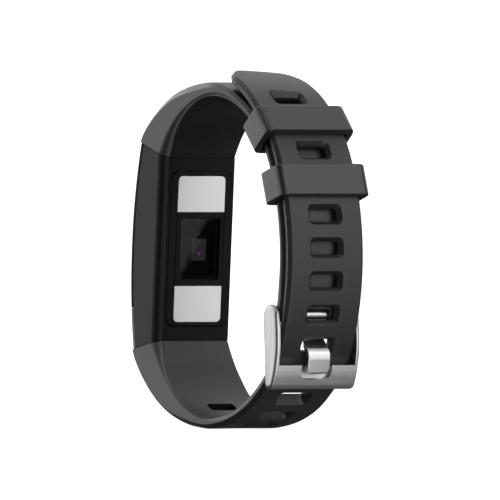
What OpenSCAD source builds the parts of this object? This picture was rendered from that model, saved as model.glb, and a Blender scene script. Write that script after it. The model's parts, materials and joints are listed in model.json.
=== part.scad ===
// Fitness tracker band: a slim sensor pod closed into a loop by two soft straps,
// two sliding keepers and a pin buckle.
// X runs across the band, +Y is the display side of the pod, +Z runs up the pod.
// The loop lies in the YZ plane as a chain of arcs. A place on it is a distance s
// along the chain from the pod's top seam, and a height n above the chain, with
// +n pointing away from the wrist.

/* [Straps] */
// Width of the pod and the straps
band_w = 19; // [18.6:0.1:19]
// Thickness of the thin stretch of each strap
strap_t = 1.9; // [1.7:0.1:1.9]
// Thickness of the upper strap where it lies under the lower one
under_t = 2.2; // [2:0.1:2.3]
// Distance between neighbouring strap holes
hole_pitch = 6.8; // [6.7:0.05:6.9]
// Width of a strap hole, across the band
hole_w = 6.8; // [6.4:0.1:7.2]
// Length of a strap hole, along the band
hole_len = 2.8; // [2.7:0.1:3.1]

/* [Pod] */
// Half height of the pod where its front meets the straps
pod_half = 22.05; // [21.95:0.05:22.05]
// Radius of the pod's curved front
front_r = 114; // [110:2:130]
// Thickness of the front glass
glass_t = 1.4; // [1.1:0.1:1.4]
// Width of the raised sensor platform
platform_w = 15.4; // [15:0.1:15.6]
// Height of the raised sensor platform
platform_h = 32.8; // [32.4:0.1:33]

/* [Sensors] */
// Width of each steel electrode
electrode_w = 11.9; // [11.5:0.1:12.3]
// Height of each steel electrode
electrode_h = 7.7; // [7.3:0.1:7.8]
// Width of the dark sensor window
window_w = 9.9; // [9.5:0.1:10.3]
// Height of the dark sensor window
window_h = 13; // [12.6:0.1:13.2]

/* [Keepers] */
// Length of each keeper along the band
keeper_len = 6.9; // [6:0.1:7.1]
// Wall thickness of each keeper
keeper_wall = 1.5; // [1.2:0.1:1.6]

/* [Buckle] */
// Width of the buckle tongue
tongue_w = 5.6; // [5.2:0.1:5.8]
// Thickness of the buckle tongue
tongue_t = 0.95; // [0.8:0.05:0.95]
// Thickness of each buckle arm
arm_t = 1.1; // [1:0.1:1.5]

/* [Hidden] */

half_w = band_w / 2;
eps = 0.01;
round_fn = 64;

// The loop: seven arcs. Angles are measured from +Y toward +Z; the radii of
// arcs 2 and 5 are worked out below so that the loop closes on the pod.
arc_from = [23, 63, 115, 152, 196, 260, 300];
arc_to = [63, 115, 152, 196, 260, 300, 331];
set_r = [25, 24, 0, 49, 27, 0, 30];
loop_start = [7.2, 20.57];
loop_end = [5.4, -20.07];

function ray(a) = [cos(a), sin(a)];
function chord(i) = ray(arc_to[i]) - ray(arc_from[i]);
function sum_to(v, n) = n < 0 ? 0 * v[0] : v[n] + sum_to(v, n - 1);
function cross2(a, b) = a[0] * b[1] - a[1] * b[0];

set_span = sum_to([for (i = [0:6]) set_r[i] * chord(i)], 6);
left_over = loop_end - loop_start - set_span;
free_r2 = cross2(left_over, chord(5)) / cross2(chord(2), chord(5));
free_r5 = cross2(chord(2), left_over) / cross2(chord(2), chord(5));
arc_r = [for (i = [0:6]) i == 2 ? free_r2 : i == 5 ? free_r5 : set_r[i]];
arc_len = [for (i = [0:6]) arc_r[i] * (arc_to[i] - arc_from[i]) * PI / 180];
arc_end_s = [for (i = [0:6]) sum_to(arc_len, i)];
arc_centre = [for (i = [0:6])
    loop_start + (i == 0 ? [0, 0] : sum_to([for (k = [0:6]) arc_r[k] * chord(k)], i - 1))
    - arc_r[i] * ray(arc_from[i])];
loop_len = arc_end_s[6];

function arc_at(s, i = 0) = i == 6 || s <= arc_end_s[i] ? i : arc_at(s, i + 1);
function angle_in(s, i) = arc_to[i] - (arc_end_s[i] - s) / arc_r[i] * 180 / PI;
function angle_at(s) = angle_in(s, arc_at(s));
function on_loop(s, n) = arc_centre[arc_at(s)] + (arc_r[arc_at(s)] + n) * ray(angle_at(s));

// The straps meet the pod on two slanted planes, higher at the front (outer_y,
// pod_half) than at the inner edge of the side faces (inner_y, inner_half).
inner_half = 20.05;
inner_y = 5.4;
outer_y = 12.7;
seam_slope = (pod_half - inner_half) / (outer_y - inner_y);
seam_lean = atan(seam_slope);
function seam_z(y) = pod_half + (y - outer_y) * seam_slope;
// Over this length the strap's cross-sections turn from the seam plane to square.
seam_blend = 9;

// Where the straps start, end and carry holes
tail_tip_s = 29.9;
tip_round = 5;
hole_zero_s = 89.4;
holes_each_way = 7;
bar_s = 90.3;
bar_drop = 1.75;
bar_angle = angle_at(bar_s);
bar_yz = on_loop(bar_s, -bar_drop);
strap_gap = 0.1;

// The straps' sections: heights of the outer face, the inner face and the widest line
// between them, and the drop and width of the bevel along the outer face's edges
function upper_out(s) = lookup(s, [[0, 5.7], [4, 5.25], [8, 4.45], [12, 3.5], [15.5, 2.5],
    [19, 1.65], [22.5, 1.05], [26, 0.7], [33, 0]]);
function upper_in(s) =
    lookup(s, [[0, -4.4], [8, -3.6], [16, -2.8], [26, -under_t]]);
function upper_edge(s) = lookup(s, [[0, -1.9], [20, -1.7], [32, -under_t + 1]]);
function upper_bevel(s) =
    lookup(s, [[0, 0.15], [5, 1], [10, 1.5], [20, 1.6], [26, 1.1], [33, 0.6]]);
function upper_bevel_x(s) = lookup(s, [[0, 0.2], [8, 1.2], [20, 1.6], [33, 0.75]]);
function lower_out(u) = lookup(u, [[0, 7.6], [4, 7.35], [8, 6.95], [12, 6.2], [15.5, 5.2],
    [19, 4], [23, 2.8], [28, 2.15], [45, strap_gap + strap_t]]);
function lower_in(u) = lookup(u, [[0, -2.5], [5, -1.6], [10, -0.9], [15, -0.4], [20, -0.1],
    [30, strap_gap]]);
function lower_edge(u) = lookup(u, [[0, 0], [25, 0.3], [35, strap_gap + 0.9]]);
// The lower strap leaves the loop a little: its tail lifts off, its bottom sags inward
function stray(s) = lookup(s, [[tail_tip_s, 0.85], [33.6, 0.5], [37, 0.35], [41, 0.22],
    [44.5, 0], [101, 0], [110, -0.45], [124, -0.45], [131, 0]]);
function lower_bevel(u) = lookup(u, [[0, 0.15], [8, 1.2], [16, 1.6], [28, 1.1], [45, 0.75]]);
function lower_bevel_x(u) = lookup(u, [[0, 0.2], [10, 1.4], [18, 2.2], [30, 1.5], [45, 0.75]]);

// Pod layers, as distances along +Y
skin_y = 2.6;
rear_y = 2.85;
cover_top_y = 4;
gasket_top_y = 4.4;
ledge_top_y = 5.2;
sensor_board_y = 4.5;
battery_y = 6;
battery_t = 3.2;
board_y = 9.8;
board_t = 0.6;
panel_y = 11.2;
panel_t = 0.95;
front_y = 14.85;
key_top = -13.2;
cavity_x = 8.1;
cavity_z = 16.4;

// The strap lugs: tongues that enter pockets in the pod, held by sprung bars
lug_w = 13;
lug_y = 8.6;
lug_t = 3.2;
lug_z = 19.1;
pocket_z = 17.35;
lug_gap = 0.05;

// Sprung bars
tube_r = 0.75;
tube_bore = 0.52;
plunger_r = 0.46;
tip_r = 0.4;
tip_hole_r = 0.46;
tip_reach = 1.2;
plunger_len = 1.6;
buckle_tube_half = 9.2;
coil_wire = 0.07;

// Keeper and buckle clearances
keeper_gap = 0.15;
keeper_slack = 0.45;
arm_gap = 0.12;
eye_r = 1.35;
eye_gap = 0.07;
slot_half = tongue_w / 2 + 0.25;
slot_back = 2.1;
slot_front = 1.6;

// Moves the loop from its own axes to the middle of the whole band's footprint
base_shift = [0, 15.465, 36.759];

// The YZ outline given as children, extruded across X from x0 to x1
module across(x0, x1) {
    translate([x0, 0, 0]) rotate([90, 0, 90]) linear_extrude(x1 - x0) children();
}

// A cylinder along X
module rod(r, x0, x1, yz, sides = round_fn) {
    translate([x0, yz[0], yz[1]]) rotate([0, 90, 0]) cylinder(r = r, h = x1 - x0, $fn = sides);
}

// A rounded rectangle in the XZ plane, from y0 to y1
module plate(w, h, r, y0, y1, z = 0) {
    translate([0, y1, z]) rotate([90, 0, 0]) linear_extrude(y1 - y0) rounded(w, h, r);
}

module rounded(w, h, r) {
    square([w - 2 * r, h], center = true);
    square([w, h - 2 * r], center = true);
    for (x = [-1, 1], y = [-1, 1])
        translate([x * (w / 2 - r), y * (h / 2 - r)]) circle(r, $fn = 32);
}

module brick(x0, x1, y0, y1, z0, z1) {
    translate([x0, y0, z0]) cube([x1 - x0, y1 - y0, z1 - z0]);
}

// Puts a shape drawn on the Z = 0 plane onto the loop: its +Z becomes outward,
// its +Y runs back along the loop, toward the pod's upper end
module place_on_loop(s, n) {
    translate([0, on_loop(s, n)[0], on_loop(s, n)[1]]) rotate([angle_at(s) - 90, 0, 0])
        children();
}

// Solids swept along the loop. Each ring is one cross-section of ten corners.
function ring(s, width, inner, edge, outer, bevel_x, bevel_n, lean) =
    let (tuck = 0.3 + 0.45 * max(0, edge - inner - 0.9),
        middle = inner + 0.45 * (edge - inner),
        base = on_loop(s, 0))
    [for (p = [[width - tuck, inner], [width - 0.3 * tuck, middle], [width, edge],
            [width, outer - bevel_n], [width - bevel_x, outer], [-width + bevel_x, outer],
            [-width, outer - bevel_n], [-width, edge], [-width + 0.3 * tuck, middle],
            [-width + tuck, inner]])
        [p[0], base[0] + p[1] * cos(lean), base[1] + p[1] * sin(lean)]];

module sweep(rings) {
    n = len(rings[0]);
    last = len(rings) - 1;
    polyhedron([for (r = rings) each r], concat(
        [[for (k = [0:n - 1]) k]],
        [for (i = [0:last - 1], k = [0:n - 1])
            each [[i * n + k, (i + 1) * n + k, (i + 1) * n + (k + 1) % n],
                [i * n + k, (i + 1) * n + (k + 1) % n, i * n + (k + 1) % n]]],
        [[for (k = [n - 1:-1:0]) last * n + k]]));
}

function blend(t) = t > 1 ? 0 : 1 - t;
function upper_ring(s) = ring(s, half_w, upper_in(s), upper_edge(s), upper_out(s),
    upper_bevel_x(s), upper_bevel(s),
    angle_at(s) + (seam_lean - arc_from[0]) * blend(s / seam_blend));
function lower_ring(s) = let (u = loop_len - s, d = s - tail_tip_s,
        cut = d < tip_round ? tip_round - sqrt(pow(tip_round, 2) - pow(tip_round - d, 2)) : 0)
    ring(s, half_w - cut, lower_in(u) + stray(s), lower_edge(u) + stray(s),
        lower_out(u) + stray(s), lower_bevel_x(u), lower_bevel(u),
        angle_at(s) + (360 - seam_lean - arc_to[6]) * blend(u / seam_blend));

module strap_hole(s) {
    bevel = 1;
    flare = 1.5;
    corner = 0.8;
    top = lower_out(loop_len - s) + stray(s);
    place_on_loop(s, 0) {
        translate([0, 0, -4]) linear_extrude(9) rounded(hole_w, hole_len, corner);
        translate([0, 0, top - bevel]) linear_extrude(bevel + eps,
            scale = [(hole_w + flare) / hole_w, (hole_len + flare) / hole_len])
            rounded(hole_w, hole_len, corner);
    }
}

// The rounded tongue that enters the pod's pocket, side = 1 at the top, -1 below
module lug(side) {
    difference() {
        union() {
            brick(-lug_w / 2, lug_w / 2, lug_y - lug_t / 2, lug_y + lug_t / 2,
                side > 0 ? lug_z : -lug_z - 3.4, side > 0 ? lug_z + 3.4 : -lug_z);
            rod(lug_t / 2, -lug_w / 2, lug_w / 2, [lug_y, side * lug_z]);
        }
        rod(tube_r, -lug_w, lug_w, [lug_y, side * lug_z]);
    }
}

module strap_upper() color([0.25, 0.25, 0.26]) {
    difference() {
        union() {
            sweep([for (s = [0, 1.5, 3, 4.5, 6, 8, 10, 12, 14, 16, 18, 20, 22.5, 25]) upper_ring(s),
                for (i = [0:24]) upper_ring(27.5 + i * (bar_s - 27.5) / 24)]);
            rod(bar_drop - 0.06, -half_w + 0.05, half_w - 0.05, bar_yz);
        }
        rod(tube_r, -half_w - 1, half_w + 1, bar_yz);
        place_on_loop(bar_s, -bar_drop)
            brick(-slot_half, slot_half, -slot_back, slot_front, -2.5, 2.5);
    }
    lug(1);
}

module strap_lower() color([0.27, 0.27, 0.28]) {
    difference() {
        sweep([for (d = [0, 0.15, 0.6, 1.3, 2.3, tip_round]) lower_ring(tail_tip_s + d),
            for (i = [1:40]) lower_ring(tail_tip_s + tip_round
                + i * (loop_len - 12 - tail_tip_s - tip_round) / 40),
            for (u = [10, 8, 6, 4.5, 3, 1.5, 0]) lower_ring(loop_len - u)]);
        for (k = [-holes_each_way:holes_each_way]) strap_hole(hole_zero_s + k * hole_pitch);
    }
    lug(-1);
}

// A closed band around both straps, turned about the centre of arc i, so that it
// follows the straps as it slides
module keeper(i, mid_angle) {
    low = -under_t - keeper_slack;
    high = strap_gap + strap_t + keeper_gap;
    wide = half_w + keeper_gap;
    span = 2 * keeper_len / arc_r[i] * 180 / PI;
    translate([0, arc_centre[i][0], arc_centre[i][1]]) rotate([90, 0, 90])
        rotate([0, 0, mid_angle]) intersection() {
            rotate([0, 0, -span / 2]) rotate_extrude(angle = span, $fn = 360)
                translate([arc_r[i] + (low + high) / 2, 0]) difference() {
                    rounded(high - low + 2 * keeper_wall, 2 * (wide + keeper_wall), 1.3);
                    rounded(high - low, 2 * wide, 0.25);
                }
            brick(0, 2 * arc_r[i], -keeper_len / 2, keeper_len / 2, -2 * wide, 2 * wide);
        }
}

module keeper_upper() color([0.3, 0.3, 0.31]) keeper(2, 135);
module keeper_lower() color([0.3, 0.3, 0.31]) keeper(3, 158.2);

// Everything behind the curved front, at a depth below the glass's face
module behind_front(depth) {
    rod(front_r - depth, -half_w - 1, half_w + 1, [front_y - front_r, 0], 720);
}

// The pod's side outline, cut to the two slanted seam planes, from y0 forward
module pod_outline(y0) {
    across(-half_w, half_w) polygon([[y0, -seam_z(y0)], [front_y + 1, -seam_z(front_y + 1)],
        [front_y + 1, seam_z(front_y + 1)], [y0, seam_z(y0)]]);
}

// The pod's cross-section, the same all along its height, with stepped rear shoulders
module pod_section() {
    half = [[half_w, front_y + 1], [half_w, inner_y], [half_w - 0.25, inner_y - 0.8],
        [half_w - 0.55, inner_y - 1.6], [half_w - 1.2, rear_y]];
    linear_extrude(60, center = true) polygon(concat(half,
        [for (i = [4:-1:0]) [-half[i][0], half[i][1]]]));
}

module case() color([0.22, 0.22, 0.23]) {
    difference() {
        intersection() {
            pod_outline(rear_y);
            pod_section();
            behind_front(glass_t);
        }
        plate(platform_w, platform_h, 1.6, rear_y - 1, gasket_top_y);
        plate(platform_w - 1.8, platform_h - 1.8, 1, gasket_top_y - 1, ledge_top_y + 1);
        brick(-cavity_x, cavity_x, ledge_top_y, panel_y + 0.05, -cavity_z, cavity_z);
        brick(-7.3, 7.3, panel_y - 1, front_y, -11.7, 15.7);
        for (side = [-1, 1]) {
            brick(-lug_w / 2 - lug_gap, lug_w / 2 + lug_gap, lug_y - lug_t / 2 - lug_gap,
                lug_y + lug_t / 2 + lug_gap, side > 0 ? pocket_z : -24, side > 0 ? 24 : -pocket_z);
            rod(tip_hole_r, -lug_w / 2 - 1.5, lug_w / 2 + 1.5, [lug_y, side * lug_z]);
        }
    }
}

// The curved skin on the display side, between two heights
module front_shell(z0, z1) {
    difference() {
        intersection() {
            pod_outline(rear_y);
            behind_front(0);
            brick(-half_w, half_w, 8, 20, z0, z1);
        }
        behind_front(glass_t);
    }
}

module front_glass() color([0.02, 0.02, 0.03]) front_shell(key_top + 0.1, 23);
module touch_key() color([0.55, 0.55, 0.57]) front_shell(-23, key_top);

module display_panel() color([0.05, 0.05, 0.08])
    brick(-7.2, 7.2, panel_y, panel_y + panel_t, -11.6, 15.6);

module display_flex() color([0.75, 0.45, 0.15])
    brick(-3, 3, board_y + board_t, panel_y, -11, -10.7);

module main_board() color([0.05, 0.3, 0.15])
    brick(-7.6, 7.6, board_y, board_y + board_t, -15.8, 15.8);

module processor_chip() color([0.1, 0.1, 0.1])
    brick(-2.5, 2.5, board_y + board_t, board_y + board_t + 0.6, 2, 7);

module radio_chip() color([0.7, 0.7, 0.72])
    brick(-2, 2, board_y + board_t, board_y + board_t + 0.7, -6, -1);

module battery() color([0.7, 0.72, 0.75])
    brick(-6.4, 6.4, battery_y, battery_y + battery_t, -15.4, 8.6);

module battery_tab() color([0.8, 0.6, 0.2])
    brick(-2, 2, battery_y + battery_t, board_y, -15, -13.6);

// A coin-shaped vibration motor beside the battery, with its axle along Y
motor_z = 12.5;
motor_r = 3.4;
motor_y = 6;
motor_len = 2.7;
module motor_can() color([0.75, 0.75, 0.77]) translate([0, motor_y, motor_z]) rotate([-90, 0, 0])
    difference() {
        cylinder(r = motor_r, h = motor_len, $fn = round_fn);
        translate([0, 0, 0.3]) cylinder(r = motor_r - 0.25, h = motor_len - 0.6, $fn = round_fn);
    }

module motor_shaft() color([0.8, 0.8, 0.8]) translate([0, motor_y + 0.3, motor_z])
    rotate([-90, 0, 0]) cylinder(r = 0.4, h = motor_len - 0.6, $fn = round_fn);

module motor_rotor() color([0.7, 0.5, 0.2]) translate([0, motor_y + 0.5, motor_z])
    rotate([-90, 0, 0]) difference() {
        union() {
            cylinder(r = 1.1, h = motor_len - 1, $fn = round_fn);
            intersection() {
                cylinder(r = motor_r - 0.4, h = motor_len - 1, $fn = round_fn);
                translate([-5, 0, 0]) cube([10, 5, 5]);
            }
        }
        translate([0, 0, -1]) cylinder(r = 0.45, h = 5, $fn = round_fn);
    }

electrode_z = window_h / 2 + 1.3 + electrode_h / 2;
electrode_t = 0.5;
contact_w = 2;

// The platform: a frame that holds the electrodes and the middle block
module back_cover() color([0.16, 0.16, 0.17]) {
    difference() {
        plate(platform_w, platform_h, 1.6, skin_y, cover_top_y);
        plate(electrode_w, 2 * electrode_z + electrode_h, 1, skin_y - 1, skin_y + electrode_t);
        plate(electrode_w, 2 * electrode_z - electrode_h, 0.2, skin_y - 1, cover_top_y + 1);
        for (z = [-1, 1])
            brick(-contact_w / 2, contact_w / 2, skin_y, cover_top_y + 1,
                z * electrode_z - contact_w / 2, z * electrode_z + contact_w / 2);
    }
}

module cover_gasket() color([0.1, 0.1, 0.1]) {
    difference() {
        plate(platform_w, platform_h, 1.6, cover_top_y, gasket_top_y);
        plate(platform_w - 1.8, platform_h - 1.8, 1, cover_top_y - 1, gasket_top_y + 1);
    }
}

module electrode(z) color([0.8, 0.8, 0.81]) intersection() {
    plate(electrode_w, 2 * electrode_z + electrode_h, 1, skin_y, skin_y + electrode_t);
    plate(electrode_w, electrode_h, 0.05, skin_y - 1, skin_y + 1, z);
}
module electrode_upper() electrode(electrode_z);
module electrode_lower() electrode(-electrode_z);

module contact(z) color([0.85, 0.7, 0.3])
    brick(-contact_w / 2, contact_w / 2, skin_y + electrode_t, sensor_board_y,
        z - contact_w / 2, z + contact_w / 2);
module contact_upper() contact(electrode_z);
module contact_lower() contact(-electrode_z);

// The block between the electrodes, with a pocket for the window and the chip
module sensor_bezel() color([0.13, 0.13, 0.14]) {
    difference() {
        plate(electrode_w, 2 * electrode_z - electrode_h, 0.2, skin_y, cover_top_y);
        plate(window_w, window_h, 0.3, skin_y - 1, skin_y + 0.6);
        plate(window_w - 1.6, window_h - 1.6, 0.3, skin_y - 1, cover_top_y + 1);
    }
}

module sensor_window() color([0.03, 0.03, 0.04]) {
    plate(window_w, window_h, 0.3, skin_y, skin_y + 0.6);
}

module sensor_board() color([0.05, 0.25, 0.12])
    plate(platform_w - 3, platform_h - 3, 0.5, sensor_board_y, sensor_board_y + 0.6);

chip_x = 0.4;
chip_z = -0.15;
lens_z = -1.2;
module sensor_chip() color([0.3, 0.3, 0.31]) {
    translate([chip_x, 0]) plate(3.6, 4.7, 0.1, skin_y + 0.9, sensor_board_y, chip_z);
}

module sensor_lens() color([0.4, 0.15, 0.5]) translate([chip_x, skin_y + 0.9, lens_z])
    rotate([90, 0, 0]) cylinder(r = 0.65, h = 0.25, $fn = 32);

// One sprung bar lies along X at the place yz. Its tube reaches half_len each way.
module bar_tube(half_len, yz) color([0.75, 0.75, 0.76]) difference() {
    rod(tube_r, -half_len, half_len, yz);
    rod(tube_bore, -half_len - 1, half_len + 1, yz);
}

// A stepped plunger: the wide end runs in the tube, the thin end enters the hole
module bar_tip(side, half_len, yz) color([0.8, 0.8, 0.81]) mirror([side > 0 ? 0 : 1, 0, 0]) {
    rod(plunger_r, half_len - plunger_len, half_len, yz);
    rod(tip_r, half_len - eps, half_len + tip_reach, yz);
}

// The coil between the two plungers
module bar_coil(half_len, yz, turns) color([0.6, 0.6, 0.62]) {
    steps = 8;
    sides = 4;
    reach = half_len - plunger_len - 2 * coil_wire;
    coil_r = tube_bore - coil_wire - 0.03;
    sweep([for (i = [0:turns * steps]) let (a = i * 360 / steps,
            x = -reach + 2 * reach * i / (turns * steps))
        [for (k = [0:sides - 1]) let (b = -k * 360 / sides, r = coil_r + coil_wire * cos(b))
            [x + coil_wire * sin(b), yz[0] + r * cos(a), yz[1] + r * sin(a)]]]);
}

lug_upper = [lug_y, lug_z];
lug_lower = [lug_y, -lug_z];
lug_half = lug_w / 2;
module lug_tube_upper() bar_tube(lug_half, lug_upper);
module lug_spring_upper() bar_coil(lug_half, lug_upper, 9);
module lug_tip_upper_left() bar_tip(-1, lug_half, lug_upper);
module lug_tip_upper_right() bar_tip(1, lug_half, lug_upper);
module lug_tube_lower() bar_tube(lug_half, lug_lower);
module lug_spring_lower() bar_coil(lug_half, lug_lower, 9);
module lug_tip_lower_left() bar_tip(-1, lug_half, lug_lower);
module lug_tip_lower_right() bar_tip(1, lug_half, lug_lower);
module buckle_tube() bar_tube(buckle_tube_half, bar_yz);
module buckle_spring() bar_coil(buckle_tube_half, bar_yz, 14);
module buckle_tip_left() bar_tip(-1, buckle_tube_half, bar_yz);
module buckle_tip_right() bar_tip(1, buckle_tube_half, bar_yz);

// Side outline of the buckle: a round head over the bar, then an arm that narrows
// down to the crossbar
module arm_outline() {
    translate([-40.5, -11.05]) circle(2.55, $fn = round_fn);
    polygon([[-37.95, -11], [-38.7, -17.3], [-39.3, -22.5], [-39.6, -25.2], [-42.05, -25.2],
        [-42.5, -24.2], [-43.5, -21.1], [-43.85, -18], [-43.6, -14.5], [-43.05, -11.3]]);
    translate([-40.82, -25.2]) circle(1.23, $fn = 32);
}

crossbar_top = -21.1;
module buckle_frame() color([0.78, 0.78, 0.79]) {
    inside = half_w + arm_gap;
    outside = inside + arm_t;
    difference() {
        union() {
            for (side = [-1, 1]) mirror([side > 0 ? 0 : 1, 0, 0])
                across(inside, outside) arm_outline();
            difference() {
                across(-outside, outside) intersection() {
                    arm_outline();
                    translate([-60, -40]) square([40, 40 + crossbar_top]);
                }
                rod(arc_r[4] + strap_gap + strap_t + keeper_gap, -inside, inside,
                    arc_centre[4], 360);
            }
        }
        rod(tip_hole_r, -inside - 0.95, inside + 0.95, bar_yz);
        across(-3.5, 3.5) polygon([[-46, -20], [-42.8, -20], [-42.25, -24], [-46, -24]]);
    }
}

// The tongue in its own frame: the bar at the origin, +X toward the tip, +Y outward
module tongue_outline() {
    half_t = tongue_t / 2;
    polygon([[0.7, -half_t], [4.9, -half_t], [5.15, -half_t + 0.2], [7.55, 3.75], [7.9, 3.95],
        [11.5, 4.35], [11.45, 5.3], [7.5, 4.9], [6.95, 4.6], [4.55, 0.75], [4.3, half_t],
        [0.7, half_t]]);
}

module buckle_tongue() color([0.82, 0.82, 0.83]) {
    translate([0, bar_yz[0], bar_yz[1]]) rotate([bar_angle - 90, 0, 0]) difference() {
        union() {
            mirror([0, 1, 0]) rotate([90, 0, 90])
                linear_extrude(tongue_w, center = true) tongue_outline();
            rod(eye_r, -tongue_w / 2, tongue_w / 2, [0, 0]);
        }
        rod(tube_r + eye_gap, -tongue_w, tongue_w, [0, 0]);
    }
}

translate(base_shift) {
    case();
    front_glass();
    display_panel();
    display_flex();
    touch_key();
    main_board();
    processor_chip();
    radio_chip();
    battery();
    battery_tab();
    motor_can();
    motor_shaft();
    motor_rotor();
    back_cover();
    cover_gasket();
    sensor_bezel();
    sensor_window();
    sensor_board();
    sensor_chip();
    sensor_lens();
    electrode_upper();
    electrode_lower();
    contact_upper();
    contact_lower();
    strap_upper();
    strap_lower();
    keeper_upper();
    keeper_lower();
    lug_tube_upper();
    lug_spring_upper();
    lug_tip_upper_left();
    lug_tip_upper_right();
    lug_tube_lower();
    lug_spring_lower();
    lug_tip_lower_left();
    lug_tip_lower_right();
    buckle_frame();
    buckle_tongue();
    buckle_tube();
    buckle_spring();
    buckle_tip_left();
    buckle_tip_right();
}
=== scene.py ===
"""A fitness tracker band standing in its closed, worn shape on a pale floor.

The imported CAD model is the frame. The pieces that show are rebuilt here with rounded
edges and fine materials; each one takes the place of its CAD node and rides its body.
"""
import json
import math

import bmesh
import bpy
from mathutils import Matrix, Vector


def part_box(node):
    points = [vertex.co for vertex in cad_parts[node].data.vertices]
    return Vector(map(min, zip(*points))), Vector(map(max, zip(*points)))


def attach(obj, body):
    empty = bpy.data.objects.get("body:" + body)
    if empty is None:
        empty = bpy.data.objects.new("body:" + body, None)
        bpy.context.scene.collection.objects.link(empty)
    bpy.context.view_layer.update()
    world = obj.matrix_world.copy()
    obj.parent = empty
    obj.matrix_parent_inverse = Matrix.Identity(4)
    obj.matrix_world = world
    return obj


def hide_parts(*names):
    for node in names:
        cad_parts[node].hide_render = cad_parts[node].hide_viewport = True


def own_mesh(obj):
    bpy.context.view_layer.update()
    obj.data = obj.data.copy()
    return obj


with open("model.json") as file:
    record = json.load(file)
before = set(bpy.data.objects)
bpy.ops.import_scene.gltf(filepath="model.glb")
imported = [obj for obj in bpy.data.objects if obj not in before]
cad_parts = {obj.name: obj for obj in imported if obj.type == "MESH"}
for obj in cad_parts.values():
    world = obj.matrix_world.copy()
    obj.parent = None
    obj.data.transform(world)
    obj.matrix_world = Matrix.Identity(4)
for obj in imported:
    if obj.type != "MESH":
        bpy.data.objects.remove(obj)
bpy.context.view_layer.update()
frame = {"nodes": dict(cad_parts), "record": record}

MM = 0.001

# ---------------------------------------------------------------- the loop
# All sizes are in millimetres in the loop's own axes, as in the CAD model: X across the
# band, +Y to the display, +Z up the pod. A place on a strap is (s, n): a distance along
# the chain of arcs from the pod's top seam, and a height outward from it. Each arc has its
# two end angles, in degrees from +Y, and its radius; the two marked 0 are solved.
ARC_FROM = [23, 63, 115, 152, 196, 260, 300]
ARC_TO = [63, 115, 152, 196, 260, 300, 331]
SET_RADIUS = [25, 24, 0, 49, 27, 0, 30]
FREE = (2, 5)
LOOP_START = Vector((7.2, 20.57))
LOOP_END = Vector((5.4, -20.07))

# Half the band's width, each strap's thickness and the gap between them; then the pod's
# section: its wrist side (SKIN, REAR), its end edges (EDGE, FRONT_EDGE) and its display side
HALF_W = 9.5
STRAP_T = 1.9
UPPER_T = 2.2
STRAP_GAP = 0.1
SKIN_Y = 2.6
REAR_Y = 2.85
EDGE_Y = 5.4
EDGE_Z = 20.05
FRONT_EDGE_Y = 12.7
FRONT_EDGE_Z = 22.05
FRONT_Y = 14.85
FRONT_RADIUS = 114
GLASS_T = 1.4
KEY_TOP = -13.2
SEAM_SLOPE = (FRONT_EDGE_Z - EDGE_Z) / (FRONT_EDGE_Y - EDGE_Y)
SEAM_LEAN = math.degrees(math.atan(SEAM_SLOPE))
SEAM_BLEND = 9

# How far the frame's origin lies from the loop's, found from the window's place in both
window_low, window_high = (Vector(corner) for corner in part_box("sensor_window"))
SHIFT = Vector((0, window_low[1] / MM - SKIN_Y, (window_low[2] + window_high[2]) / 2 / MM))


def ray(degrees):
    """A unit vector in the loop's plane, at an angle from +Y."""
    a = math.radians(degrees)
    return Vector((math.cos(a), math.sin(a)))


def cross2(a, b):
    return a.x * b.y - a.y * b.x


def solve_radii():
    """The two free radii are those with which the chain ends on the pod's lower seam."""
    chords = [ray(b) - ray(a) for a, b in zip(ARC_FROM, ARC_TO)]
    laid = sum((c * r for c, r in zip(chords, SET_RADIUS)), Vector((0, 0)))
    rest = LOOP_END - LOOP_START - laid
    i, k = FREE
    radii = list(SET_RADIUS)
    radii[i] = cross2(rest, chords[k]) / cross2(chords[i], chords[k])
    radii[k] = cross2(chords[i], rest) / cross2(chords[i], chords[k])
    return radii


def lay_out():
    """Each arc's centre, and the distance along the chain at which it ends."""
    centres, ends = [], []
    at, s = LOOP_START, 0
    for a, b, r in zip(ARC_FROM, ARC_TO, RADIUS):
        centres.append(at - ray(a) * r)
        at = centres[-1] + ray(b) * r
        s += r * math.radians(b - a)
        ends.append(s)
    return centres, ends


RADIUS = solve_radii()
CENTRE, END_S = lay_out()
LOOP_LEN = END_S[-1]
LAST_ARC = len(RADIUS) - 1


def arc_at(s):
    return next((i for i in range(LAST_ARC) if s <= END_S[i]), LAST_ARC)


def angle_at(s):
    """The direction outward from the loop at the distance s."""
    i = arc_at(s)
    return ARC_TO[i] - math.degrees((END_S[i] - s) / RADIUS[i])


def on_loop(s, n):
    """The point (Y, Z) at the distance s and the height n."""
    i = arc_at(s)
    return CENTRE[i] + ray(angle_at(s)) * (RADIUS[i] + n)


def seam_z(y):
    """The height of the pod's slanted end plane at y."""
    return FRONT_EDGE_Z + (y - FRONT_EDGE_Y) * SEAM_SLOPE


def place(x, y, z):
    """A point in the loop's own millimetres, as a point of the frame in metres."""
    return (Vector((x, y, z)) + SHIFT) * MM


def curve(table):
    """A smooth function through a table of (place, value) pairs."""
    xs, ys = zip(*table)

    def slope(i):
        a, b = max(i - 1, 0), min(i + 1, len(xs) - 1)
        return (ys[b] - ys[a]) / (xs[b] - xs[a])

    def value(x):
        if x <= xs[0]:
            return ys[0]
        if x >= xs[-1]:
            return ys[-1]
        i = next(i for i in range(len(xs) - 1) if x <= xs[i + 1])
        h = xs[i + 1] - xs[i]
        t = (x - xs[i]) / h
        a, b = (0 if i == 0 else slope(i)), (0 if i == len(xs) - 2 else slope(i + 1))
        return (
            (2 * t**3 - 3 * t**2 + 1) * ys[i]
            + (t**3 - 2 * t**2 + t) * h * a
            + (3 * t**2 - 2 * t**3) * ys[i + 1]
            + (t**3 - t**2) * h * b
        )

    return value


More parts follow.
